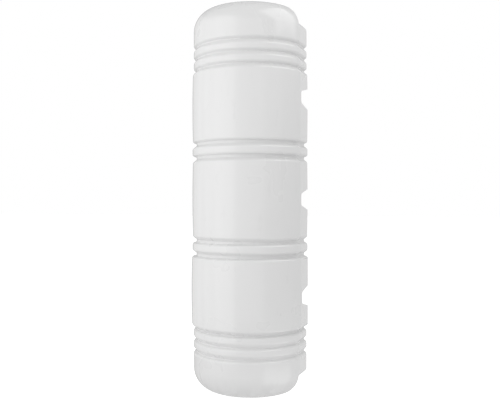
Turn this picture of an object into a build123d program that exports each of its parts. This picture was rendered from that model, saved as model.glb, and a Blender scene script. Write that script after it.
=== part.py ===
from build123d import *
import os
from math import hypot

# Water filled barrier module: a tall hollow barrel of D-shaped plan, with a hollow
# strap block welded to its flat back. +Z is up, -Y is the round front, +Y the flat back.
# The origin is on the ground, in the middle of the footprint. All sizes in millimetres.

# ---- barrel and block, overall ----
height = 1070.0             # ground to the flat top
end_half_width = 155.5      # half the width across the seam, near the ends
section_proud = 2.5         # upper and middle plain sections stand out past the ends
lower_proud = 6.5           # the lowest plain section is fuller
rib_proud = 3.5             # crest of each middle rib
groove_depth = 8.0          # floor of every groove, in from the ends' surface
axis_setback = 40.0         # centre of the barrel's arc, behind the seam
dome_round = 64.0           # rounding from the side into the flat top and base
block_depth = 77.0          # strap block, from the seam to the flat back
block_drop = 49.0           # its end faces, in from the barrel's top and base
block_round = 15.0          # rounding of its end faces into its sides and back
block_corner = 14.0         # its upright rear corners
wall = 5.0                  # moulded wall, everywhere

# ---- ring grooves ----
end_groove_first = 113.0    # first groove's centre, from the base or the top
end_groove_pitch = 32.0
end_groove_count = 3
end_groove_mouth = 17.0
end_groove_floor = 4.0
band_offset = 132.0         # centre of each middle rib, from mid-height
band_spacing = 38.0         # the two grooves beside a middle rib, centre to centre
band_groove_mouth = 19.0
band_groove_floor = 7.0
lip_round = 6.0             # outer edges of the grooves
root_round = 2.0            # edges of their floors
least_round = 1.0           # what is left of a rounding on the inside of the wall

# ---- strap channels across the back ----
upper_channel_offset = 280.0    # upper channel, above mid-height
lower_channel_offset = 268.0    # lower channel, below mid-height
channel_mouth = 60.0
channel_floor = 31.0
channel_floor_gap = 8.0     # floor of a channel, behind the seam
channel_lip_round = 8.0
channel_root_round = 9.0

# ---- filler, in a well in the top ----
well_depth = 34.0
fill_finger_room = 4.5      # between the plug's head and the side of the well
fill_bore_radius = 20.0
fill_bush_wall = 6.0
fill_flange_rim = 3.0       # how far the flange reaches past the bush
fill_flange_thickness = 2.5
fill_bush_below = 18.0      # reach below the well's floor
fill_bush_above = 5.0       # rim above the well's floor
fill_gasket_thickness = 2.5
fill_head_rim = 1.5         # how far the plug's head reaches past the bush
fill_head_thickness = 5.5
fill_shank_length = 20.0
fill_grip_inset = 4.5       # each end of the bar, in from the head's edge
fill_grip_thickness = 9.0
fill_grip_height = 13.5

# ---- drain, low on the barrel's flat back ----
drain_ground_gap = 10.5     # under the drain's flange
drain_bore_radius = 9.0
drain_bush_wall = 3.5
drain_flange_rim = 4.0
drain_flange_thickness = 3.0
drain_bush_inside = 16.0    # reach inside the barrel, from its back's outer face
drain_gasket_thickness = 2.0
drain_head_rim = 2.0
drain_head_thickness = 4.0
drain_shank_length = 14.0
drain_hex_inset = 5.0       # corners of the hexagon, in from the head's edge
drain_hex_height = 7.0

# ---- fits ----
thread_clearance = 0.07     # plug shank in its bush, on the radius
gasket_clearance = 0.5      # gasket round a plug shank, on the radius
shank_wall = 3.5            # both plugs are moulded hollow
edge_round = 1.2            # moulded edges of plugs and bushes

# ---- worked out ----
section_half_width = end_half_width + section_proud
lower_half_width = end_half_width + lower_proud
rib_half_width = end_half_width + rib_proud
groove_half_width = end_half_width - groove_depth
arc_gain = hypot(section_half_width, axis_setback) - section_half_width
front_depth = lower_half_width + arc_gain - axis_setback
seam_y = (front_depth - block_depth) / 2
back_y = seam_y + block_depth
axis_y = seam_y + axis_setback
fill_bush_radius = fill_bore_radius + fill_bush_wall
fill_head_radius = fill_bush_radius + fill_head_rim
well_radius = fill_head_radius + fill_finger_room
well_y = seam_y - wall - well_radius
well_floor_z = height - well_depth
drain_bush_radius = drain_bore_radius + drain_bush_wall
drain_flange_radius = drain_bush_radius + drain_flange_rim
drain_head_radius = drain_bush_radius + drain_head_rim
drain_height = drain_ground_gap + drain_flange_radius
long_enough = 2 * height    # for cutting tools that run right through


def groove(centre, mouth, floor, below, above):
    """Corners of one groove, from the surface below it to the surface above it."""
    return [
        (below, centre - mouth / 2, lip_round),
        (groove_half_width, centre - floor / 2, root_round),
        (groove_half_width, centre + floor / 2, root_round),
        (above, centre + mouth / 2, lip_round),
    ]


def end_grooves(plain_half_width):
    """Corners of an end zone's grooves, counted in from that end."""
    corners = []
    for index in range(end_groove_count):
        is_last = index == end_groove_count - 1
        beyond = plain_half_width if is_last else end_half_width
        centre = end_groove_first + index * end_groove_pitch
        corners += groove(centre, end_groove_mouth, end_groove_floor, end_half_width, beyond)
    return corners


def band_grooves(centre, below, above):
    """Corners of the two grooves beside a middle rib."""
    first = centre - band_spacing / 2
    second = centre + band_spacing / 2
    corners = groove(first, band_groove_mouth, band_groove_floor, below, rib_half_width)
    corners += groove(second, band_groove_mouth, band_groove_floor, rib_half_width, above)
    return corners


def front_view(drop, ends_round, gain):
    """Corners (across, up, rounding) of the whole outline seen from the front."""
    middle = height / 2
    right = [(end_half_width, drop, ends_round)]
    right += end_grooves(lower_half_width)
    right += band_grooves(middle - band_offset, lower_half_width, section_half_width)
    right += band_grooves(middle + band_offset, section_half_width, section_half_width)
    top_zone = end_grooves(section_half_width)
    right += [(across, height - up, rounding) for across, up, rounding in reversed(top_zone)]
    right += [(end_half_width, height - drop, ends_round)]
    right = [(across + gain, up, rounding) for across, up, rounding in right]
    left = [(-across, up, rounding) for across, up, rounding in reversed(right)]
    return right + left


def side_view(front_y):
    """Corners (back, up, rounding) of the strap block seen from its side."""
    corners = [(front_y, block_drop, 0.0), (back_y, block_drop, block_round)]
    for middle in channel_heights():
        corners += [
            (back_y, middle - channel_mouth / 2, channel_lip_round),
            (seam_y + channel_floor_gap, middle - channel_floor / 2, channel_root_round),
            (seam_y + channel_floor_gap, middle + channel_floor / 2, channel_root_round),
            (back_y, middle + channel_mouth / 2, channel_lip_round),
        ]
    corners += [(back_y, height - block_drop, block_round)]
    corners += [(front_y, height - block_drop, 0.0)]
    return corners


def plan_view(front_y):
    """Corners (across, back, rounding) of the strap block seen from above."""
    half = lower_half_width
    return [
        (-half, front_y, 0.0),
        (half, front_y, 0.0),
        (half, back_y, block_corner),
        (-half, back_y, block_corner),
    ]


def channel_heights():
    """Mid-heights of the three strap channels."""
    middle = height / 2
    return [middle - lower_channel_offset, middle, middle + upper_channel_offset]


def shrink(corners, amount):
    """Move a counter-clockwise loop of corners inwards, with its roundings to match."""
    moved = []
    for index, (u, v, rounding) in enumerate(corners):
        before = Vector(*corners[index - 1][:2])
        here = Vector(u, v)
        after = Vector(*corners[(index + 1) % len(corners)][:2])
        arriving = (here - before).normalized()
        leaving = (after - here).normalized()
        inward = Vector(-arriving.Y, arriving.X) + Vector(-leaving.Y, leaving.X)
        here += inward * (2 * amount / inward.dot(inward))
        turns_left = arriving.cross(leaving).Z > 0
        if rounding > 0:
            rounding = max(rounding - amount, least_round) if turns_left else rounding + amount
        moved.append((here.X, here.Y, rounding))
    return moved


def flat(corners):
    """A flat face with rounded corners."""
    points = [(u, v) for u, v, rounding in corners]
    roundings = [rounding for u, v, rounding in corners]
    return make_face(FilletPolyline(*points, radius=roundings, close=True))


def turned(corners):
    """The barrel's solid of revolution from the corners of its front view."""
    right = [corner for corner in corners if corner[0] > 0]
    half = [(0.0, right[0][1], 0.0)] + right + [(0.0, right[-1][1], 0.0)]
    profile = Pos(0, axis_y, 0) * (Plane.XZ * flat(half))
    return revolve(profile, Axis((0, axis_y, 0), (0, 0, 1)))


def in_front_of(y):
    """Everything in front of an upright plane."""
    size = long_enough
    return Pos(0, y - size / 2, 0) * Box(size, size, size)


def upright(radius, foot, head, x=0.0, y=0.0):
    """A cylinder standing between two heights."""
    return Pos(x, y, (foot + head) / 2) * Cylinder(radius, head - foot)


def block(shrunk_by):
    """The strap block's outside, or its inside when shrunk by the wall."""
    front_y = seam_y - 2 * shrunk_by
    front = flat(shrink(front_view(block_drop, block_round, 0.0), shrunk_by))
    side = flat(shrink(side_view(front_y), shrunk_by))
    plan = flat(shrink(plan_view(front_y), shrunk_by))
    solid = extrude(Plane.XZ * front, long_enough, both=True)
    solid &= extrude(Plane.YZ * side, long_enough, both=True)
    solid &= extrude(plan, long_enough, both=True)
    return solid


def front_shell():
    """Round-fronted barrel: hollow, with a window at its back where the block joins."""
    view = front_view(0.0, dome_round, arc_gain)
    outside = turned(view) & in_front_of(seam_y)
    cavity = turned(shrink(view, wall)) & in_front_of(seam_y - wall)
    window = flat(shrink(front_view(block_drop, block_round, 0.0), wall))
    window = Pos(0, seam_y + wall, 0) * extrude(Plane.XZ * window, 3 * wall)
    well_outside = upright(well_radius + wall, well_floor_z - wall, height, y=well_y)
    shell = outside - (cavity + window) + (well_outside & outside)
    shell -= upright(well_radius, well_floor_z, height + wall, y=well_y)
    shell -= upright(fill_bush_radius, 0.0, height, y=well_y) & above(height / 2)
    shell -= Pos(0, seam_y, drain_height) * drain_hole()
    return shell


def above(z):
    """Everything above a level."""
    size = long_enough
    return Pos(0, 0, z + size / 2) * Box(size, size, size)


def drain_hole():
    """Hole through the barrel's back for the drain's bush, centred on its outer face."""
    return Rot(90, 0, 0) * Cylinder(drain_bush_radius, 4 * wall)


def rear_shell():
    """Strap block: hollow, open at the seam, with three channels across its back."""
    return block(0.0) - block(wall)


def ring(outer, inner, foot, head):
    """A round tube standing on the axis."""
    return upright(outer, foot, head) - upright(inner, foot, head)


def fill_bush():
    """Moulded-in bush that the filler plug screws into, with a flange on the well's floor."""
    head = fill_bush_above
    body = ring(fill_bush_radius, fill_bore_radius, -fill_bush_below, head)
    flange = ring(fill_bush_radius + fill_flange_rim, fill_bore_radius, 0.0, fill_flange_thickness)
    return Pos(0, well_y, well_floor_z) * (body + flange)


def fill_gasket():
    """Flat gasket between the filler's rim and the plug's head."""
    inner = fill_bore_radius + gasket_clearance
    body = ring(fill_bush_radius, inner, 0.0, fill_gasket_thickness)
    return Pos(0, well_y, well_floor_z + fill_bush_above) * body


def plug(head_radius, head_thickness, bore_radius, shank_length):
    """Round-headed hollow plug: the head stands on z = 0 and the shank hangs below."""
    head = upright(head_radius, 0.0, head_thickness)
    head = fillet(head.edges(), edge_round)
    shank = upright(bore_radius - thread_clearance, -shank_length, edge_round)
    shank = chamfer(shank.edges().sort_by(Axis.Z)[0], edge_round)
    hollow = upright(bore_radius - shank_wall, -shank_length, 0.0)
    return head + shank - hollow


def fill_plug():
    """Filler plug, turned by the bar across its head."""
    body = plug(fill_head_radius, fill_head_thickness, fill_bore_radius, fill_shank_length)
    length = 2 * (fill_head_radius - fill_grip_inset)
    grip = Box(length, fill_grip_thickness, fill_grip_height)
    grip = fillet(grip.edges().filter_by(Axis.Z), fill_grip_thickness / 3)
    grip = fillet(grip.faces().sort_by(Axis.Z)[-1].edges(), edge_round)
    body += Pos(0, 0, fill_head_thickness + fill_grip_height / 2 - edge_round) * grip
    seat = well_floor_z + fill_bush_above + fill_gasket_thickness
    return Pos(0, well_y, seat) * body


def facing_back(body, y):
    """Turn a piece made upright so that it points out of the barrel's back."""
    return Pos(0, y, drain_height) * (Rot(-90, 0, 0) * body)


def drain_bush():
    """Moulded-in bush that the drain plug screws into, with a flange on the back."""
    flange_top = drain_flange_thickness
    body = ring(drain_bush_radius, drain_bore_radius, -drain_bush_inside, flange_top)
    body += ring(drain_flange_radius, drain_bore_radius, 0.0, flange_top)
    return facing_back(body, seam_y)


def drain_gasket():
    """Flat gasket between the drain's flange and the plug's head."""
    outer = drain_head_radius - edge_round
    inner = drain_bore_radius + gasket_clearance
    body = ring(outer, inner, 0.0, drain_gasket_thickness)
    return facing_back(body, seam_y + drain_flange_thickness)


def drain_plug():
    """Drain plug, turned by the hexagon on its head."""
    body = plug(drain_head_radius, drain_head_thickness, drain_bore_radius, drain_shank_length)
    hexagon = extrude(RegularPolygon(drain_head_radius - drain_hex_inset, 6), drain_hex_height)
    hexagon = chamfer(hexagon.faces().sort_by(Axis.Z)[-1].edges(), edge_round)
    body += Pos(0, 0, drain_head_thickness) * hexagon
    seat = seam_y + drain_flange_thickness + drain_gasket_thickness
    return facing_back(body, seat)


nodes = {
    "front_shell": front_shell,
    "rear_shell": rear_shell,
    "fill_bush": fill_bush,
    "fill_gasket": fill_gasket,
    "fill_plug": fill_plug,
    "drain_bush": drain_bush,
    "drain_gasket": drain_gasket,
    "drain_plug": drain_plug,
}

os.makedirs("parts", exist_ok=True)
for name, make in nodes.items():
    export_step(make(), f"parts/{name}.step")
print(f"seam {seam_y:.2f}, back {back_y:.2f}, axis {axis_y:.2f}, well {well_y:.2f}")
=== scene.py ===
"""Looks for a water filled barrier module: shells, filler, drain, finishes and a plain studio."""

from math import copysign, cos, hypot, pi, radians, sin, tan

import bmesh
import bpy
from bpy.props import FloatProperty, FloatVectorProperty, IntProperty, PointerProperty
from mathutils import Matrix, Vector


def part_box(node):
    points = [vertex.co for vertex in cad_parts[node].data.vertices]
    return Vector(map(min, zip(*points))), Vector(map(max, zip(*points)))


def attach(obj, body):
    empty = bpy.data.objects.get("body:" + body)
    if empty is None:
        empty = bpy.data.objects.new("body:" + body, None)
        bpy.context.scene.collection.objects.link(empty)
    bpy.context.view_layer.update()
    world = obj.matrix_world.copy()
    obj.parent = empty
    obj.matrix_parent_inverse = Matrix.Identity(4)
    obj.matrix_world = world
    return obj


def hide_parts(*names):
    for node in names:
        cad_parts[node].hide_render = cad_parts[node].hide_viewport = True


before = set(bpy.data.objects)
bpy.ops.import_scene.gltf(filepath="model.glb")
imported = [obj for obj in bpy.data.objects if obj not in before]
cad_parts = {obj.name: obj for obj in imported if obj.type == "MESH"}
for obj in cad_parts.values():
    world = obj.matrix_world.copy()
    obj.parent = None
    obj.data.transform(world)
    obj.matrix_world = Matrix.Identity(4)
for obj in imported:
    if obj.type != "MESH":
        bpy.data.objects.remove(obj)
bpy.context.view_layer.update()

bl_info = {
    "name": "Water Filled Barrier",
    "version": (1, 0, 0),
    "blender": (4, 5, 0),
    "location": "View3D > Sidebar > Barrier",
    "description": "Builds the visible shells, plugs and finishes of a water filled barrier",
    "category": "Object",
}

BARREL_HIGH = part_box("front_shell")[1]
BLOCK_LOW, BLOCK_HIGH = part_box("rear_shell")
FILL_BUSH_LOW, FILL_BUSH_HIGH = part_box("fill_bush")
FILL_PLUG_LOW, FILL_PLUG_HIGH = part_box("fill_plug")
FILL_GASKET_LOW, FILL_GASKET_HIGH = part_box("fill_gasket")
DRAIN_PLUG_LOW, DRAIN_PLUG_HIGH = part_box("drain_plug")
DRAIN_GASKET_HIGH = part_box("drain_gasket")[1]

MM = 0.001
HEIGHT = BARREL_HIGH.z
SEAM_Y = BLOCK_LOW.y
BACK_Y = BLOCK_HIGH.y
LOWER_HALF_WIDTH = BLOCK_HIGH.x
WELL_Y = (FILL_PLUG_LOW.y + FILL_PLUG_HIGH.y) / 2
DRAIN_Z = (DRAIN_PLUG_LOW.z + DRAIN_PLUG_HIGH.z) / 2
BUSH_TOP = 5 * MM       # how far the filler bush stands above the well's floor
FILL_INSET = 9.1 * MM   # thread's crest, in from the filler bush's outside
DRAIN_INSET = 5.6 * MM  # thread's crest, in from the drain plug's head
SLACK = 0.01            # how far cutting tools reach past what they cut
REACH = 0.2             # further than the barrier's half width and its depth
NEAR = 1e-5             # vertices closer than this are the same one
FACING = 0.9            # a normal's least share along an axis, on a face that looks that way
LEANING = 0.5           # and its greatest share, on a face that looks another way
SMALL_ROUND = 5 * MM    # roundings below this size take the fewest segments
WIDE_ROUND = 12 * MM    # roundings from this size take the most
BARREL_STEPS = 80       # puts no ring of vertices within the seam's bevel
INSIDE_STEPS = 48       # coarser, where nobody looks
ROUND_STEPS = 96        # round a filler plug, or a cutter
DRAIN_STEPS = 72        # round the drain plug
THREAD_STEPS = 48       # in one turn of a thread, or round a small recess
SHELL_SMOOTH = radians(40)
PLUG_SMOOTH = radians(35)
FLOOR_SIZE = 40
ROOM_LEVEL = 0.56       # brightness of the room as the barrier sees it
BOUNCE_LEVEL = 0.14     # how much brighter its floor is

# Softboxes: name, azimuth and elevation in degrees, distance, lift above mid-height, width,
# height, and brightness beside a white wall. Lengths are in metres.
LAMPS = (
    ("key_softbox", -41.5, 5, 1.25, 0.2, 1.9, 2.2, 0.275),
    ("key_strip", -30, 5, 1.3, 0.2, 1.0, 2.0, 0.57),
    ("left_softbox", -75, 5, 1.3, 0.2, 1.2, 2.0, 0.24),
    ("front_fill", 20, 0, 2.6, 0.3, 2.5, 2.4, 0.31),
    ("right_fill", 60, 30, 1.6, 0.0, 1.2, 2.0, 0.17),
    ("upper_right_softbox", 95, 50, 1.5, 0.0, 1.2, 1.2, 1.0),
    ("right_edge_strip", 155, 5, 1.6, 0.0, 0.8, 2.4, 0.14),
    ("low_right_bounce", 75, -25, 0.6, -0.45, 0.6, 0.3, 0.70),
    ("rear_left_fill", -110, 10, 1.5, 0.0, 1.0, 2.0, 0.18),
)


def length(name, default, description):
    """A length property, in metres."""
    return FloatProperty(name=name, description=description, default=default, unit="LENGTH")


def colour(name, default, description):
    """A colour property."""
    return FloatVectorProperty(
        name=name, description=description, default=default, size=3, subtype="COLOR", min=0, max=1
    )


class ShellSizes(bpy.types.PropertyGroup):
    """Sizes of the two moulded shells."""

    wall: length("Wall", 5 * MM, "Thickness of the moulded wall")
    section_proud: length("Section proud", 2.5 * MM, "Plain sections stand out this far")
    lower_proud: length("Lower proud", 6.5 * MM, "The lowest section stands out this far")
    rib_proud: length("Rib proud", 3.5 * MM, "Middle ribs stand out this far")
    groove_depth: length("Groove depth", 8 * MM, "Groove floors, in from the ends' surface")
    axis_setback: length("Axis setback", 40 * MM, "Centre of the barrel's arc, behind the seam")
    dome_round: length("Dome rounding", 64 * MM, "Rounding of the barrel's ends")
    block_round: length("Block rounding", 15 * MM, "Rounding of the block's ends")
    block_corner: length("Block corner", 14 * MM, "Rounding of the upright rear corners")
    first_groove: length("First groove", 113 * MM, "First groove's centre, from either end")
    groove_pitch: length("Groove pitch", 32 * MM, "From one end groove to the next")
    groove_mouth: length("Groove mouth", 17 * MM, "Width of an end groove at the surface")
    groove_floor: length("Groove floor", 3 * MM, "Width of an end groove at its floor")
    band_offset: length("Band offset", 132 * MM, "Centre of each middle rib, from mid-height")
    band_spacing: length("Band spacing", 38 * MM, "Between the grooves beside a middle rib")
    band_mouth: length("Band mouth", 19 * MM, "Width of a band groove at the surface")
    band_floor: length("Band floor", 7 * MM, "Width of a band groove at its floor")
    floor_shift: length("Floor shift", 2.5 * MM, "Groove floors, towards the nearer end")
    lip_round: length("Lip rounding", 6 * MM, "Rounding of the grooves' outer edges")
    root_round: length("Root rounding", 2.5 * MM, "Rounding of the grooves' floors")
    seam_edge: length("Seam edge", 0.8 * MM, "Rounding of each shell's edge at the seam")
    drain_hole: length("Drain hole", 12.5 * MM, "Radius of the hole for the drain")
    fullness: length("Fullness", 1.5 * MM, "Plain sections swell this far at their middles")


class ChannelSizes(bpy.types.PropertyGroup):
    """Sizes of the strap channels."""

    upper: length("Upper channel", 280 * MM, "Upper channel, above mid-height")
    lower: length("Lower channel", 268 * MM, "Lower channel, below mid-height")
    mouth: length("Mouth", 60 * MM, "Height of a channel at the back")
    floor: length("Floor", 31 * MM, "Height of a channel at its floor")
    floor_gap: length("Floor gap", 8 * MM, "Floor of a channel, behind the seam")
    lip_round: length("Lip rounding", 8 * MM, "Rounding of a channel's mouth")
    root_round: length("Root rounding", 9 * MM, "Rounding of a channel's floor")


class PlugSizes(bpy.types.PropertyGroup):
    """Sizes of the screwed plugs, both modelled standing up on their seats."""

    fill_head: length("Filler head", 5.5 * MM, "Thickness of the filler plug's head")
    fill_pitch: length("Filler pitch", 5 * MM, "Pitch of the filler plug's thread")
    fill_turns: IntProperty(name="Filler turns", description="Turns of its thread", default=3)
    drain_head: length("Drain head", 4 * MM, "Thickness of the drain plug's head")
    drain_pitch: length("Drain pitch", 3 * MM, "Pitch of the drain plug's thread")
    drain_turns: IntProperty(name="Drain turns", description="Turns of its thread", default=3)
    shank_wall: length("Shank wall", 3.5 * MM, "Wall of the hollow shanks")
    thread_depth: length("Thread depth", 1.2 * MM, "Height of the threads")
    flutes: IntProperty(name="Flutes", description="Notches round the filler plug's rim", default=24)


class FinishColours(bpy.types.PropertyGroup):
    """Colours of the mouldings."""

    shell: colour("Shell", (0.82, 0.82, 0.82), "Moulded shells")
    bush: colour("Bush", (0.55, 0.56, 0.57), "Moulded-in bushes")
    plug: colour("Plug", (0.10, 0.105, 0.11), "Screwed plugs")
    rubber: colour("Rubber", (0.02, 0.02, 0.02), "Gaskets")


class StageSettings(bpy.types.PropertyGroup):
    """Where the camera stands, and its lens."""

    azimuth: FloatProperty(
        name="Azimuth", description="Camera's turn towards +X", default=radians(20.5), subtype="ANGLE"
    )
    distance: length("Distance", 1.995, "Camera to the middle of the seam")
    lens: FloatProperty(name="Lens", description="Focal length in millimetres", default=51.45)
    pan: FloatProperty(
        name="Pan", description="Camera's aim to the right of the seam", default=radians(0.36),
        subtype="ANGLE",
    )
    eye_height: length("Eye height", 0.5335, "Camera's height")


def corner_set_back(before, here, after, rounding):
    """How far along its two edges a corner's rounding starts."""
    arriving = (here - before).normalized()
    leaving = (after - here).normalized()
    return rounding * tan(arriving.angle(leaving) / 2)


def groove(centre, mouth, floor, floor_width, below, above):
    """Corners of one groove, from the surface below it to the surface above it."""
    sizes = bpy.context.scene.barrier_shell
    floor_centre = centre + copysign(sizes.floor_shift, centre - HEIGHT / 2)
    return [
        (below, centre - mouth / 2, sizes.lip_round),
        (floor_width, floor_centre - floor / 2, sizes.root_round),
        (floor_width, floor_centre + floor / 2, sizes.root_round),
        (above, centre + mouth / 2, sizes.lip_round),
    ]


def swell(below, above, rise, steps=8):
    """Points of a plain section that swells between its two ends."""
    points = []
    for step in range(1, steps):
        along = step / steps
        up = below[1] + (above[1] - below[1]) * along
        points.append((below[0] + rise * 4 * along * (1 - along), up, 0.0))
    return points


def front_view(drop, ends_round, gain):
    """Corners (across, up, rounding) of the whole outline seen from the front."""
    sizes = bpy.context.scene.barrier_shell
    lower = LOWER_HALF_WIDTH
    end = lower - sizes.lower_proud
    section = end + sizes.section_proud
    rib = end + sizes.rib_proud
    floor_width = end - sizes.groove_depth

    def end_grooves(plain):
        corners = []
        for index in range(3):
            beyond = plain if index == 2 else end
            centre = sizes.first_groove + index * sizes.groove_pitch
            corners += groove(
                centre, sizes.groove_mouth, sizes.groove_floor, floor_width, end, beyond
            )
        return corners

    def band(centre, below, above):
        corners = []
        for side, first, last in ((-1, below, rib), (1, rib, above)):
            middle = centre + side * sizes.band_spacing / 2
            corners += groove(
                middle, sizes.band_mouth, sizes.band_floor, floor_width, first, last
            )
        return corners

    middle = HEIGHT / 2
    lower_end = lower - sizes.fullness
    parts = [
        [(end, drop, ends_round)] + end_grooves(lower_end),
        band(middle - sizes.band_offset, lower_end, section),
        band(middle + sizes.band_offset, section, section),
        [(across, HEIGHT - up, size) for across, up, size in reversed(end_grooves(section))]
        + [(end, HEIGHT - drop, ends_round)],
    ]
    right = list(parts[0])
    for part in parts[1:]:
        right += swell(right[-1], part[0], sizes.fullness) + part
    right = [(across + gain, up, size) for across, up, size in right]
    return right + [(-across, up, size) for across, up, size in reversed(right)]


def side_view(front_y, drop):
    """Corners (back, up, rounding) of the strap block seen from its side."""
    sizes = bpy.context.scene.barrier_shell
    channel = bpy.context.scene.barrier_channel
    floor_y = SEAM_Y + channel.floor_gap
    corners = [(front_y, drop, 0.0), (BACK_Y, drop, sizes.block_round)]
    for offset in (-channel.lower, 0.0, channel.upper):
        middle = HEIGHT / 2 + offset
        corners += [
            (BACK_Y, middle - channel.mouth / 2, channel.lip_round),
            (floor_y, middle - channel.floor / 2, channel.root_round),
            (floor_y, middle + channel.floor / 2, channel.root_round),
            (BACK_Y, middle + channel.mouth / 2, channel.lip_round),
        ]
    corners += [(BACK_Y, HEIGHT - drop, sizes.block_round), (front_y, HEIGHT - drop, 0.0)]
    return corners


def shrink(corners, amount):
    """Move a counter-clockwise loop of corners inwards, with its roundings to match."""
    least = MM
    moved = []
    for index, (u, v, rounding) in enumerate(corners):
        before = Vector(corners[index - 1][:2])
        here = Vector((u, v))
        after = Vector(corners[(index + 1) % len(corners)][:2])
        arriving = (here - before).normalized()
        leaving = (after - here).normalized()
        inward = Vector((-arriving.y, arriving.x)) + Vector((-leaving.y, leaving.x))
        here = here + inward * (2 * amount / inward.dot(inward))
        turns_left = arriving.x * leaving.y - arriving.y * leaving.x > 0
        if rounding > 0:
            rounding = max(rounding - amount, least) if turns_left else rounding + amount
        moved.append((here.x, here.y, rounding))
    return moved


def deselect():
    """Select nothing. Works in object mode."""
    bpy.ops.object.select_all(action="DESELECT")


def only(piece):
    """Select one object and make it the active one."""
    deselect()
    piece.select_set(True)
    bpy.context.view_layer.objects.active = piece


def select_where(piece, test, kind="verts"):
    """In edit mode, select only the vertices, edges or faces that pass a test."""
    bpy.ops.mesh.select_all(action="DESELECT")
    mesh = bmesh.from_edit_mesh(piece.data)
    for item in getattr(mesh, kind):
        if test(item):
            item.select_set(True)
    mesh.select_flush_mode()
    bmesh.update_edit_mesh(piece.data)


def chain(name, points):
    """Start a mesh as one vertex, and extrude it from point to point. Leaves edit mode on."""
    deselect()
    bpy.ops.mesh.primitive_plane_add(size=SLACK)
    piece = bpy.context.object
    piece.name = name
    piece.data.name = name
    bpy.ops.object.mode_set(mode="EDIT")
    bpy.ops.mesh.select_mode(type="VERT")
    bpy.ops.mesh.select_all(action="SELECT")
    bpy.ops.mesh.merge(type="CENTER")
    bpy.ops.transform.translate(value=points[0])
    for start, end in zip(points, points[1:]):
        bpy.ops.mesh.extrude_region_move(TRANSFORM_OT_translate={"value": end - start})
    return piece


def round_corners(piece, corners, closed, segments):
    """Round each corner of a chain by its own radius, with a vertex bevel."""
    count = len(corners)
    for index, (here, rounding) in enumerate(corners):
        if rounding == 0 or (not closed and index in (0, count - 1)):
            continue
        before = corners[index - 1][0]
        after = corners[(index + 1) % count][0]
        select_where(piece, lambda vertex: (vertex.co - here).length < NEAR)
        bpy.ops.mesh.bevel(
            offset_type="OFFSET", offset=corner_set_back(before, here, after, rounding),
            segments=segments(rounding), affect="VERTICES", profile=0.5,
        )


def arc_segments(rounding):
    """More segments for a larger rounding."""
    return 5 if rounding < SMALL_ROUND else 8 if rounding < WIDE_ROUND else 20


def coarse_segments(rounding):
    """Fewer, for inner faces that nobody sees."""
    return 2 if rounding < WIDE_ROUND else 8


def plug_segments(rounding):
    """The same for each of a plug's small roundings."""
    return 3


def turned(name, corners, limit_y, axis_y, steps, segments):
    """Turn one side of a front view about the barrel's axis, and cut it off flat behind."""
    right = [corner for corner in corners if corner[0] > 0]
    right = [(0.0, right[0][1], 0.0)] + right + [(0.0, right[-1][1], 0.0)]
    points = [(Vector((across, axis_y, up)), size) for across, up, size in right]
    piece = chain(name, [point for point, size in points])
    round_corners(piece, points, False, segments)
    bpy.ops.mesh.select_all(action="SELECT")
    bpy.ops.mesh.spin(steps=steps, angle=pi, center=(0, axis_y, 0), axis=(0, 0, 1))
    bpy.ops.mesh.select_all(action="SELECT")
    bpy.ops.mesh.remove_doubles(threshold=NEAR)
    bpy.ops.mesh.select_all(action="SELECT")
    bpy.ops.mesh.bisect(
        plane_co=(0, limit_y, 0), plane_no=(0, 1, 0), use_fill=True, clear_outer=True,
        threshold=NEAR / 100,
    )
    finish_solid()
    return piece


def finish_solid():
    """Merge doubles, point the faces outwards and leave edit mode."""
    bpy.ops.mesh.select_all(action="SELECT")
    bpy.ops.mesh.remove_doubles(threshold=NEAR)
    bpy.ops.mesh.normals_make_consistent(inside=False)
    bpy.ops.object.mode_set(mode="OBJECT")


def prism(name, corners, place, travel, segments):
    """Fill an outline and extrude it. place turns a corner's two numbers into a point."""
    points = [(place(u, v), size) for u, v, size in corners]
    piece = chain(name, [point for point, size in points])
    bpy.ops.mesh.select_all(action="SELECT")
    bpy.ops.mesh.edge_face_add()
    round_corners(piece, points, True, segments)
    bpy.ops.mesh.select_all(action="SELECT")
    bpy.ops.mesh.extrude_region_move(TRANSFORM_OT_translate={"value": travel})
    finish_solid()
    return piece


def cylinder(name, radius, low, high, x=0.0, y=0.0, sides=ROUND_STEPS):
    """An upright round tool between two heights."""
    deselect()
    bpy.ops.mesh.primitive_cylinder_add(
        vertices=sides, radius=radius, depth=high - low, location=(x, y, (low + high) / 2)
    )
    piece = bpy.context.object
    piece.name = name
    bpy.ops.object.transform_apply(location=True, rotation=True, scale=True)
    return piece


def box(name, size, height):
    """A plain box over the origin, centred on a height."""
    deselect()
    bpy.ops.mesh.primitive_cube_add(size=1, location=(0, 0, height))
    piece = bpy.context.object
    piece.name = name
    piece.scale = size
    bpy.ops.object.transform_apply(location=True, rotation=True, scale=True)
    return piece


def apply_modifier(piece, kind, settings):
    """Add a modifier with these settings, and apply it."""
    only(piece)
    bpy.ops.object.modifier_add(type=kind)
    modifier = piece.modifiers[-1]
    for name, value in settings.items():
        setattr(modifier, name, value)
    bpy.ops.object.modifier_apply(modifier=modifier.name)


def round_upright(piece, corner_round, corner_segments, top_round, top_segments):
    """Round a block's upright edges, and then the edges of its top."""
    bpy.ops.object.mode_set(mode="EDIT")
    bpy.ops.mesh.select_mode(type="EDGE")
    select_where(piece, lambda edge: abs(edge.verts[0].co.z - edge.verts[1].co.z) > NEAR, "edges")
    bpy.ops.mesh.bevel(
        offset=corner_round, segments=corner_segments, affect="EDGES", profile=0.5
    )
    bpy.ops.mesh.select_mode(type="FACE")
    select_where(piece, lambda face: face.normal.z > FACING, "faces")
    bpy.ops.mesh.bevel(offset=top_round, segments=top_segments, affect="EDGES", profile=0.5)
    finish_solid()


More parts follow.
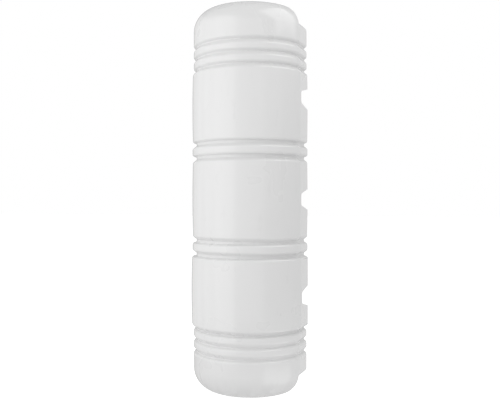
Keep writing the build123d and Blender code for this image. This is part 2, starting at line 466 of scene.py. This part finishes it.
def combine(target, tool, operation):
    """Join, cut or intersect two solids with an applied Boolean, and remove the tool."""
    settings = {"operation": operation, "solver": "EXACT", "object": tool}
    apply_modifier(target, "BOOLEAN", settings)
    bpy.data.objects.remove(tool)
    return target


def soften_seam(piece, width):
    """Round the outer edge that lies in the seam's plane."""
    only(piece)
    bpy.ops.object.mode_set(mode="EDIT")
    bpy.ops.mesh.select_mode(type="EDGE")

    def in_seam(edge):
        flat = all(abs(vertex.co.y - SEAM_Y) < NEAR for vertex in edge.verts)
        return flat and any(abs(face.normal.y) < LEANING for face in edge.link_faces)

    select_where(piece, in_seam, "edges")
    bpy.ops.transform.edge_bevelweight(value=1)
    bpy.ops.object.mode_set(mode="OBJECT")
    apply_modifier(piece, "BEVEL", {
        "limit_method": "WEIGHT", "width": width, "segments": 3, "use_clamp_overlap": False
    })


def smooth(piece, angle):
    """Smooth shading, with flat faces kept flat beside their rounded edges."""
    only(piece)
    bpy.ops.object.shade_smooth_by_angle(angle=angle)
    apply_modifier(piece, "WEIGHTED_NORMAL", {"keep_sharp": True})


class Maker(bpy.types.Operator):
    """Shared by the operators that make pieces."""

    bl_options = {"REGISTER", "UNDO"}


class MakeFrontShell(Maker):
    """Turn the ribbed barrel, hollow it, and open its window, its well and its drain hole."""

    bl_idname = "barrier.front_shell"
    bl_label = "Front Shell"

    def execute(self, context):
        sizes = context.scene.barrier_shell
        axis_y = SEAM_Y + sizes.axis_setback
        section = LOWER_HALF_WIDTH - sizes.lower_proud + sizes.section_proud
        gain = hypot(section, sizes.axis_setback) - section
        view = front_view(0.0, sizes.dome_round, gain)
        shell = turned(
            "front_shell_skin", view, SEAM_Y, axis_y, BARREL_STEPS, arc_segments
        )
        soften_seam(shell, sizes.seam_edge)
        inside = turned(
            "inside", shrink(view, sizes.wall), SEAM_Y - sizes.wall, axis_y, INSIDE_STEPS,
            coarse_segments,
        )
        well_radius = SEAM_Y - sizes.wall - WELL_Y
        well_floor = FILL_BUSH_HIGH.z - BUSH_TOP
        sleeve = cylinder(
            "sleeve", well_radius + sizes.wall, well_floor - sizes.wall, HEIGHT + SLACK, y=WELL_Y
        )
        combine(inside, sleeve, "DIFFERENCE")
        combine(shell, inside, "DIFFERENCE")
        window = front_view(BLOCK_LOW.z, sizes.block_round, 0.0)
        window = prism(
            "window", shrink(window, sizes.wall),
            lambda across, up: Vector((across, SEAM_Y - 2 * sizes.wall, up)),
            Vector((0, 4 * sizes.wall, 0)), coarse_segments,
        )
        combine(shell, window, "DIFFERENCE")
        well = cylinder("well", well_radius, well_floor, HEIGHT + SLACK, y=WELL_Y)
        combine(shell, well, "DIFFERENCE")
        hole_radius = (FILL_GASKET_HIGH.x - FILL_GASKET_LOW.x) / 2
        hole = cylinder("hole", hole_radius, well_floor - 2 * sizes.wall, HEIGHT, y=WELL_Y)
        combine(shell, hole, "DIFFERENCE")
        hole = cylinder("hole", sizes.drain_hole, -2 * sizes.wall, 2 * sizes.wall)
        stand(hole, (0, SEAM_Y, DRAIN_Z), (pi / 2, 0, 0))
        combine(shell, hole, "DIFFERENCE")
        smooth(shell, SHELL_SMOOTH)
        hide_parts("front_shell")
        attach(shell, "barrier")
        paint(shell, moulded_shell())
        return {"FINISHED"}


class MakeRearShell(Maker):
    """Shape the strap block and its channels, soften its edges and hollow it."""

    bl_idname = "barrier.rear_shell"
    bl_label = "Rear Shell"

    def execute(self, context):
        sizes = context.scene.barrier_shell
        shell = self.block("rear_shell_skin", 0.0, arc_segments)
        soften_seam(shell, sizes.seam_edge)
        inside = self.block("inside", sizes.wall, coarse_segments)
        combine(shell, inside, "DIFFERENCE")
        smooth(shell, SHELL_SMOOTH)
        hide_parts("rear_shell")
        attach(shell, "barrier")
        paint(shell, moulded_shell())
        return {"FINISHED"}

    def block(self, name, shrunk_by, segments):
        """The block's outside, or its inside when shrunk by the wall."""
        sizes = bpy.context.scene.barrier_shell
        front_y = SEAM_Y - 2 * shrunk_by
        drop = BLOCK_LOW.z
        front = shrink(front_view(drop, sizes.block_round, 0.0), shrunk_by)
        side = shrink(side_view(front_y, drop), shrunk_by)
        half = LOWER_HALF_WIDTH
        plan = [
            (-half, front_y, 0.0), (half, front_y, 0.0),
            (half, BACK_Y, sizes.block_corner), (-half, BACK_Y, sizes.block_corner),
        ]
        plan = shrink(plan, shrunk_by)
        solid = prism(
            name, front, lambda u, v: Vector((u, front_y - SLACK, v)), Vector((0, REACH, 0)),
            segments,
        )
        cutter = prism(
            "side", side, lambda u, v: Vector((-REACH, u, v)), Vector((2 * REACH, 0, 0)), segments
        )
        combine(solid, cutter, "INTERSECT")
        cutter = prism(
            "plan", plan, lambda u, v: Vector((u, v, -SLACK)), Vector((0, 0, HEIGHT + 2 * SLACK)),
            segments,
        )
        combine(solid, cutter, "INTERSECT")
        return solid


def paint(piece, material):
    """Give a piece one material."""
    piece.data.materials.clear()
    piece.data.materials.append(material)


class Signal:
    """A socket that takes part in sums. Each operation adds a Math node."""

    def __init__(self, finish, socket):
        self.finish = finish
        self.socket = socket

    def math(self, operation, first, second):
        return self.finish.node("ShaderNodeMath", {"operation": operation}, {0: first, 1: second})

    def __add__(self, other):
        return self.math("ADD", self, other)

    __radd__ = __add__

    def __sub__(self, other):
        return self.math("SUBTRACT", self, other)

    def __rsub__(self, other):
        return self.math("SUBTRACT", other, self)

    def __mul__(self, other):
        return self.math("MULTIPLY", self, other)

    __rmul__ = __mul__


class Finish:
    """A new material, and the calls that add nodes to it."""

    def __init__(self, name):
        self.material = bpy.data.materials.new(name)
        self.material.use_nodes = True
        self.tree = self.material.node_tree
        self.shader = self.tree.nodes["Principled BSDF"]

    def feed(self, socket, value):
        """Link a signal to a socket, or set the socket's own value."""
        if isinstance(value, Signal):
            self.tree.links.new(value.socket, socket)
        else:
            socket.default_value = value

    def node(self, kind, settings, values, output=0):
        """Add a node: its settings come first, then its sockets' values or links."""
        node = self.tree.nodes.new(kind)
        for name, value in settings.items():
            setattr(node, name, value)
        for name, value in values.items():
            self.feed(node.inputs[name], value)
        return Signal(self, node.outputs[output])

    def place(self, stretch=(1, 1, 1)):
        """Object coordinates, stretched by a factor along each axis."""
        where = self.node("ShaderNodeTexCoord", {}, {}, "Object")
        return self.node("ShaderNodeMapping", {}, {"Vector": where, "Scale": stretch})

    def noise(self, scale, detail=2.0, stretch=(1, 1, 1)):
        """Soft noise from 0 to 1, a scale of 100 being about a centimetre across."""
        values = {"Vector": self.place(stretch), "Scale": scale, "Detail": detail}
        return self.node("ShaderNodeTexNoise", {}, values)

    def above(self, signal, start, end):
        """0 below start, 1 above end, and smooth between them."""
        values = {"Value": signal, "From Min": start, "From Max": end}
        return self.node("ShaderNodeMapRange", {"interpolation_type": "SMOOTHSTEP"}, values)

    def blend(self, amount, first, second):
        """From one colour to another."""
        node = self.tree.nodes.new("ShaderNodeMix")
        node.data_type = "RGBA"
        self.feed(node.inputs["Factor"], amount)
        for socket, value in zip((node.inputs[6], node.inputs[7]), (first, second)):
            self.feed(socket, value)
        return Signal(self, node.outputs[2])

    def bump(self, height, distance, strength=1.0, below=None):
        """A bump in metres, on top of another one if there is one."""
        values = {"Height": height, "Distance": distance, "Strength": strength}
        if below is not None:
            values["Normal"] = below
        return self.node("ShaderNodeBump", {}, values)

    def set(self, values):
        """Feed the surface shader, and hand over the material."""
        for name, value in values.items():
            self.feed(self.shader.inputs[name], value)
        return self.material


def shade(tint, factor):
    """A colour made darker or lighter by a factor."""
    return (*(min(part * factor, 1.0) for part in tint), 1.0)


def once(make):
    """Make a finish the first time that it is asked for, and find it again after that."""
    def find():
        name = make.__name__
        return bpy.data.materials.get(name) or make(Finish(name))
    return find


@once
def moulded_shell(finish):
    """Glossy moulded polyethylene: faintly uneven, finely pimpled, lightly scuffed, and darker
    towards the bottom.
    """
    tint = bpy.context.scene.barrier_colours.shell
    cloud = finish.noise(7.0, 3.0)
    streak = finish.noise(30.0, 4.0, (1, 1, 0.12))
    speck = finish.noise(260.0, 2.0)
    scuff = finish.above(finish.noise(55.0, 5.0, (1.0, 1.0, 0.35)), 0.60, 0.74)
    height = finish.node("ShaderNodeSeparateXYZ", {}, {0: finish.place()}, "Z")
    # Darker and a little rougher towards the bottom: streaks over the lowest 7 cm of height.
    low_streak_darkening = (1 - finish.above(height, 0.0, 0.07)) * finish.above(streak, 0.35, 0.65)
    plain = finish.blend(cloud, shade(tint, 0.985), shade(tint, 1.015))
    worn = finish.blend(scuff * 0.35, plain, shade(tint, 0.93))
    darkened_low = finish.blend(low_streak_darkening * 0.35, worn, shade(tint, 0.72))
    wavy = finish.bump(finish.noise(11.0, 1.0, (1.0, 1.0, 0.5)), 0.0012)
    drawn = finish.bump(streak, 0.00010, below=wavy)
    pimpled = finish.bump(speck, 0.00004, below=drawn)
    return finish.set({
        "Base Color": darkened_low,
        "Roughness": 0.25 + 0.06 * cloud + 0.16 * scuff + 0.10 * low_streak_darkening,
        "Coat Weight": 1.0,
        "Coat Roughness": 0.10,
        "Normal": pimpled,
    })


@once
def moulded_bush(finish):
    """Satin light grey moulding, with a finely grained skin."""
    tint = bpy.context.scene.barrier_colours.bush
    cloud = finish.noise(90.0, 3.0)
    grain = finish.noise(1400.0, 2.0)
    ring = finish.above(finish.noise(240.0, 4.0), 0.56, 0.70)
    plain = finish.blend(cloud, shade(tint, 0.95), shade(tint, 1.05))
    return finish.set({
        "Base Color": finish.blend(ring * 0.4, plain, shade(tint, 0.82)),
        "Roughness": 0.42 + 0.08 * grain + 0.10 * ring,
        "Normal": finish.bump(grain, 0.00005),
    })


@once
def moulded_plug(finish):
    """Satin dark grey moulding, grained, and rubbed paler where it is handled."""
    tint = bpy.context.scene.barrier_colours.plug
    cloud = finish.noise(120.0, 3.0)
    grain = finish.noise(1100.0, 3.0)
    rubbed = finish.above(finish.noise(180.0, 5.0, (1.0, 1.0, 0.6)), 0.55, 0.72)
    plain = finish.blend(cloud, shade(tint, 0.90), shade(tint, 1.12))
    return finish.set({
        "Base Color": finish.blend(rubbed * 0.5, plain, shade(tint, 1.5)),
        "Roughness": 0.46 + 0.10 * grain - 0.10 * rubbed,
        "Normal": finish.bump(grain, 0.00008),
    })


@once
def gasket_rubber(finish):
    """Matt black rubber, with a dusty bloom."""
    tint = bpy.context.scene.barrier_colours.rubber
    bloom = finish.above(finish.noise(220.0, 4.0), 0.45, 0.70)
    grain = finish.noise(2000.0, 2.0)
    return finish.set({
        "Base Color": finish.blend(bloom * 0.5, shade(tint, 1.0), shade(tint, 2.6)),
        "Roughness": 0.72 + 0.12 * bloom,
        "Normal": finish.bump(grain, 0.00004),
    })


@once
def floor_paper(finish):
    """White studio paper."""
    fibre = finish.noise(300.0, 3.0)
    return finish.set({
        "Base Color": finish.blend(fibre, (0.89, 0.89, 0.89, 1), (0.91, 0.91, 0.91, 1)),
        "Roughness": 0.9,
        "Emission Color": (1, 1, 1, 1),
        "Emission Strength": 0.6,
    })


def lathe(name, corners, steps):
    """Turn an outline, given as (radius, height, rounding) from axis to axis, all the way round."""
    points = [(Vector((radius, 0, up)), rounding) for radius, up, rounding in corners]
    piece = chain(name, [point for point, rounding in points])
    round_corners(piece, points, False, plug_segments)
    bpy.ops.mesh.select_all(action="SELECT")
    bpy.ops.mesh.spin(steps=steps, angle=2 * pi, center=(0, 0, 0), axis=(0, 0, 1))
    finish_solid()
    return piece


def thread(name, crest, root, pitch, turns, start):
    """A helical ridge that winds up from a height, closed at both ends."""
    half, tip = pitch * 0.34, pitch * 0.12  # half the ridge's width at its root and its crest
    corners = [(root, -half), (crest, -tip), (crest, tip), (root, half)]
    piece = chain(name, [Vector((radius, 0, start + up)) for radius, up in corners])
    bpy.ops.mesh.select_all(action="SELECT")
    bpy.ops.mesh.edge_face_add()
    bpy.ops.mesh.delete(type="ONLY_FACE")
    bpy.ops.object.mode_set(mode="OBJECT")
    apply_modifier(piece, "SCREW", {
        "angle": 2 * pi, "screw_offset": pitch, "iterations": turns, "steps": THREAD_STEPS,
        "use_merge_vertices": True, "merge_threshold": NEAR,
    })
    bpy.ops.object.mode_set(mode="EDIT")
    bpy.ops.mesh.select_mode(type="EDGE")
    select_where(piece, lambda edge: len(edge.link_faces) == 1, "edges")
    bpy.ops.mesh.fill_holes(sides=0)
    finish_solid()
    return piece


def join(pieces):
    """Make one object of several."""
    deselect()
    for piece in pieces:
        piece.select_set(True)
    bpy.context.view_layer.objects.active = pieces[0]
    bpy.ops.object.join()
    return pieces[0]


def stand(piece, place, turn):
    """Turn a finished piece and put it in its place, both in its mesh."""
    only(piece)
    piece.location = place
    piece.rotation_euler = turn
    bpy.ops.object.transform_apply(location=True, rotation=True, scale=True)


class MakeFillPlug(Maker):
    """Turn the filler plug, and add its thread, its grip and the notches round its rim."""

    bl_idname = "barrier.fill_plug"
    bl_label = "Filler Plug"

    def execute(self, context):
        sizes = context.scene.barrier_plug
        seat = FILL_GASKET_HIGH.z
        head_radius = (FILL_PLUG_HIGH.x - FILL_PLUG_LOW.x) / 2
        crest = (FILL_BUSH_HIGH.x - FILL_BUSH_LOW.x) / 2 - FILL_INSET
        root = crest - sizes.thread_depth
        bore = crest - sizes.shank_wall
        foot = FILL_PLUG_LOW.z - seat
        head = sizes.fill_head
        rim, slope, dish = 2.5 * MM, 3 * MM, 0.8 * MM
        plug = lathe("fill_plug_skin", [
            (0.0, head / 2, 0.0), (bore, head / 2, MM), (bore, foot, 0.4 * MM),
            (root, foot, 0.8 * MM), (root, 0.0, 0.4 * MM), (head_radius, 0.0, 0.6 * MM),
            (head_radius, head, 1.4 * MM), (head_radius - rim, head, 0.5 * MM),
            (head_radius - slope, head - dish, 0.5 * MM), (0.0, head - dish, 0.0),
        ], ROUND_STEPS)
        ridge = thread(
            "fill_thread", crest, root - 0.4 * MM, sizes.fill_pitch, sizes.fill_turns,
            foot + 2 * MM,
        )
        combine(plug, ridge, "UNION")
        combine(plug, self.notches(head_radius, head, sizes.flutes), "DIFFERENCE")
        plug = join([plug, self.grip(head, FILL_PLUG_HIGH.z - seat)])
        stand(plug, (0, WELL_Y, seat), (0, 0, 0))
        smooth(plug, PLUG_SMOOTH)
        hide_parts("fill_plug")
        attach(plug, "fill_cap")
        paint(plug, moulded_plug())
        return {"FINISHED"}

    def notches(self, head_radius, head, count):
        """Upright round cutters all round the rim."""
        radius, sides = 1.6 * MM, 16
        away = head_radius + radius * 0.45
        turns = [2 * pi * step / count for step in range(count)]
        return join([
            cylinder("notch", radius, -MM, head + MM, away * cos(turn), away * sin(turn), sides)
            for turn in turns
        ])

    def grip(self, foot, top):
        """A bar across the head, with round ends and a shallow pocket in each side."""
        sunk, end_round, top_round = 2 * MM, 4.2 * MM, 1.4 * MM
        size = Vector((46 * MM, 9 * MM, top - foot + sunk))
        bar = box("grip", size, (foot - sunk + top) / 2)
        round_upright(bar, end_round, 8, top_round, 4)
        pocket_size = Vector((30 * MM, 3 * MM, 7 * MM))
        pocket_round, aside = 0.7 * MM, 4.7 * MM
        for side in (-1, 1):
            pocket = box("pocket", pocket_size, (foot + top) / 2 + MM)
            bpy.ops.object.mode_set(mode="EDIT")
            bpy.ops.mesh.select_all(action="SELECT")
            bpy.ops.mesh.bevel(offset=pocket_round, segments=3, affect="EDGES", profile=0.5)
            finish_solid()
            stand(pocket, (0, side * aside, 0), (0, 0, 0))
            combine(bar, pocket, "DIFFERENCE")
        return bar


class MakeDrainPlug(Maker):
    """Turn the drain plug, and add its thread and its hollow six-sided head."""

    bl_idname = "barrier.drain_plug"
    bl_label = "Drain Plug"

    def execute(self, context):
        sizes = context.scene.barrier_plug
        seat = DRAIN_GASKET_HIGH.y
        head_radius = (DRAIN_PLUG_HIGH.x - DRAIN_PLUG_LOW.x) / 2
        crest = head_radius - DRAIN_INSET
        finer = 0.75  # beside the filler's thread
        root = crest - sizes.thread_depth * finer
        bore = crest - sizes.shank_wall
        foot = DRAIN_PLUG_LOW.y - seat
        head = sizes.drain_head
        rim, slope, dish = 4 * MM, 4.4 * MM, 0.5 * MM
        plug = lathe("drain_plug_skin", [
            (0.0, head / 2, 0.0), (bore, head / 2, MM), (bore, foot, 0.3 * MM),
            (root, foot, 0.6 * MM), (root, 0.0, 0.3 * MM), (head_radius, 0.0, 0.4 * MM),
            (head_radius, head, 1.2 * MM), (head_radius - rim, head, 0.4 * MM),
            (head_radius - slope, head - dish, 0.4 * MM), (0.0, head - dish, 0.0),
        ], DRAIN_STEPS)
        ridge = thread(
            "drain_thread", crest, root - 0.3 * MM, sizes.drain_pitch, sizes.drain_turns,
            foot + 1.8 * MM,
        )
        combine(plug, ridge, "UNION")
        top = DRAIN_PLUG_HIGH.y - seat
        combine(plug, self.nut(head, top, head_radius - 5 * MM), "UNION")
        stand(plug, (0, seat, DRAIN_Z), (-pi / 2, 0, 0))
        smooth(plug, PLUG_SMOOTH)
        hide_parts("drain_plug")
        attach(plug, "drain_cap")
        paint(plug, moulded_plug())
        return {"FINISHED"}

    def nut(self, foot, top, radius):
        """A six-sided head with softened edges and a round recess."""
        sunk, corner_round, top_round = MM, 0.9 * MM, 0.8 * MM
        nut = cylinder("nut", radius, foot - sunk, top, sides=6)
        round_upright(nut, corner_round, 4, top_round, 3)
        deep, flare = 4 * MM, 0.5 * MM
        recess = lathe("recess", [
            (0.0, top - deep, 0.0), (5.2 * MM, top - deep, 0.6 * MM),
            (5.6 * MM, top - flare, 0.0), (6.4 * MM, top + 0.3 * MM, 0.0), (0.0, top + MM, 0.0),
        ], THREAD_STEPS)
        return combine(nut, recess, "DIFFERENCE")


class PaintCarriedParts(Maker):
    """Give the bushes and the gaskets their finishes."""

    bl_idname = "barrier.finishes"
    bl_label = "Bush and Gasket Finishes"

    def execute(self, context):
        finishes = {
            "fill_bush": moulded_bush, "drain_bush": moulded_bush,
            "fill_gasket": gasket_rubber, "drain_gasket": gasket_rubber,
        }
        for name, finish in finishes.items():
            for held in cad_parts[name].material_slots:
                held.material = finish()
        return {"FINISHED"}


class MakeStage(Maker):
    """Set the floor, the lights and the camera."""

    bl_idname = "barrier.stage"
    bl_label = "Stage"

    def execute(self, context):
        settings = context.scene.barrier_stage
        self.room(context)
        context.scene.view_settings.view_transform = "Standard"
        deselect()
        bpy.ops.mesh.primitive_plane_add(size=FLOOR_SIZE, location=(0, 0, 0))
        floor = bpy.context.object
        floor.name = "floor"
        paint(floor, floor_paper())
        floor.visible_diffuse = False
        floor.visible_glossy = False
        floor.visible_shadow = False
        for lamp in LAMPS:
            self.softbox(*lamp)
        camera = bpy.data.objects.new("camera", bpy.data.cameras.new("camera"))
        camera.data.lens = settings.lens
        context.collection.objects.link(camera)
        turn = settings.azimuth
        back = Vector((sin(turn), -cos(turn), 0)) * settings.distance
        camera.location = Vector((0, SEAM_Y, settings.eye_height)) + back
        camera.rotation_euler = (pi / 2, 0, turn - settings.pan)
        context.scene.camera = camera
        return {"FINISHED"}

    def room(self, context):
        """White walls to look at, and a dimmer room that lights the barrier, brightest below."""
        world = bpy.data.worlds.new("studio")
        world.use_nodes = True
        tree = world.node_tree
        background = tree.nodes["Background"]
        place = tree.nodes.new("ShaderNodeTexCoord")
        split = tree.nodes.new("ShaderNodeSeparateXYZ")
        tree.links.new(place.outputs["Object"], split.inputs[0])
        below = tree.nodes.new("ShaderNodeMath")
        below.operation = "MULTIPLY"
        below.use_clamp = True
        tree.links.new(split.outputs["Z"], below.inputs[0])
        below.inputs[1].default_value = -1
        level = tree.nodes.new("ShaderNodeMath")
        level.operation = "MULTIPLY_ADD"
        tree.links.new(below.outputs[0], level.inputs[0])
        level.inputs[1].default_value = BOUNCE_LEVEL
        level.inputs[2].default_value = ROOM_LEVEL
        seen = tree.nodes.new("ShaderNodeLightPath")
        mix = tree.nodes.new("ShaderNodeMix")
        mix.data_type = "RGBA"
        tree.links.new(seen.outputs["Is Camera Ray"], mix.inputs["Factor"])
        tree.links.new(level.outputs[0], mix.inputs[6])
        mix.inputs[7].default_value = (1, 1, 1, 1)
        tree.links.new(mix.outputs[2], background.inputs["Color"])
        context.scene.world = world

    def softbox(self, name, azimuth, elevation, distance, lift, width, height, level):
        """A soft light turned towards the barrier, which the camera doesn't see."""
        light = bpy.data.lights.new(name, "AREA")
        light.shape = "RECTANGLE"
        light.size, light.size_y = width, height
        light.energy = level * pi * width * height
        lamp = bpy.data.objects.new(name, light)
        bpy.context.collection.objects.link(lamp)
        turn, tilt = radians(azimuth), radians(elevation)
        outward = Vector((sin(turn) * cos(tilt), -cos(turn) * cos(tilt), sin(tilt)))
        lamp.location = outward * distance + Vector((0, 0, HEIGHT / 2 + lift))
        lamp.rotation_euler = (-outward).to_track_quat("-Z", "Y").to_euler()
        lamp.visible_camera = False


OPERATORS = (
    MakeFrontShell, MakeRearShell, MakeFillPlug, MakeDrainPlug, PaintCarriedParts, MakeStage
)
GROUPS = (ShellSizes, ChannelSizes, PlugSizes, FinishColours, StageSettings)


class BarrierPanel(bpy.types.Panel):
    """Lists the makers in the 3D view's sidebar."""

    bl_idname = "VIEW3D_PT_barrier"
    bl_label = "Water Filled Barrier"
    bl_space_type = "VIEW_3D"
    bl_region_type = "UI"
    bl_category = "Barrier"

    def draw(self, context):
        for operator in OPERATORS:
            self.layout.operator(operator.bl_idname)


def register():
    for item in (*GROUPS, *OPERATORS, BarrierPanel):
        bpy.utils.register_class(item)
    bpy.types.Scene.barrier_shell = PointerProperty(type=ShellSizes)
    bpy.types.Scene.barrier_channel = PointerProperty(type=ChannelSizes)
    bpy.types.Scene.barrier_plug = PointerProperty(type=PlugSizes)
    bpy.types.Scene.barrier_colours = PointerProperty(type=FinishColours)
    bpy.types.Scene.barrier_stage = PointerProperty(type=StageSettings)


def unregister():
    del bpy.types.Scene.barrier_stage
    del bpy.types.Scene.barrier_colours
    del bpy.types.Scene.barrier_plug
    del bpy.types.Scene.barrier_channel
    del bpy.types.Scene.barrier_shell
    for item in reversed((*GROUPS, *OPERATORS, BarrierPanel)):
        bpy.utils.unregister_class(item)


def main():
    register()
    bpy.ops.barrier.front_shell()
    bpy.ops.barrier.rear_shell()
    bpy.ops.barrier.fill_plug()
    bpy.ops.barrier.drain_plug()
    bpy.ops.barrier.finishes()
    bpy.ops.barrier.stage()


if __name__ == "__main__":
    main()
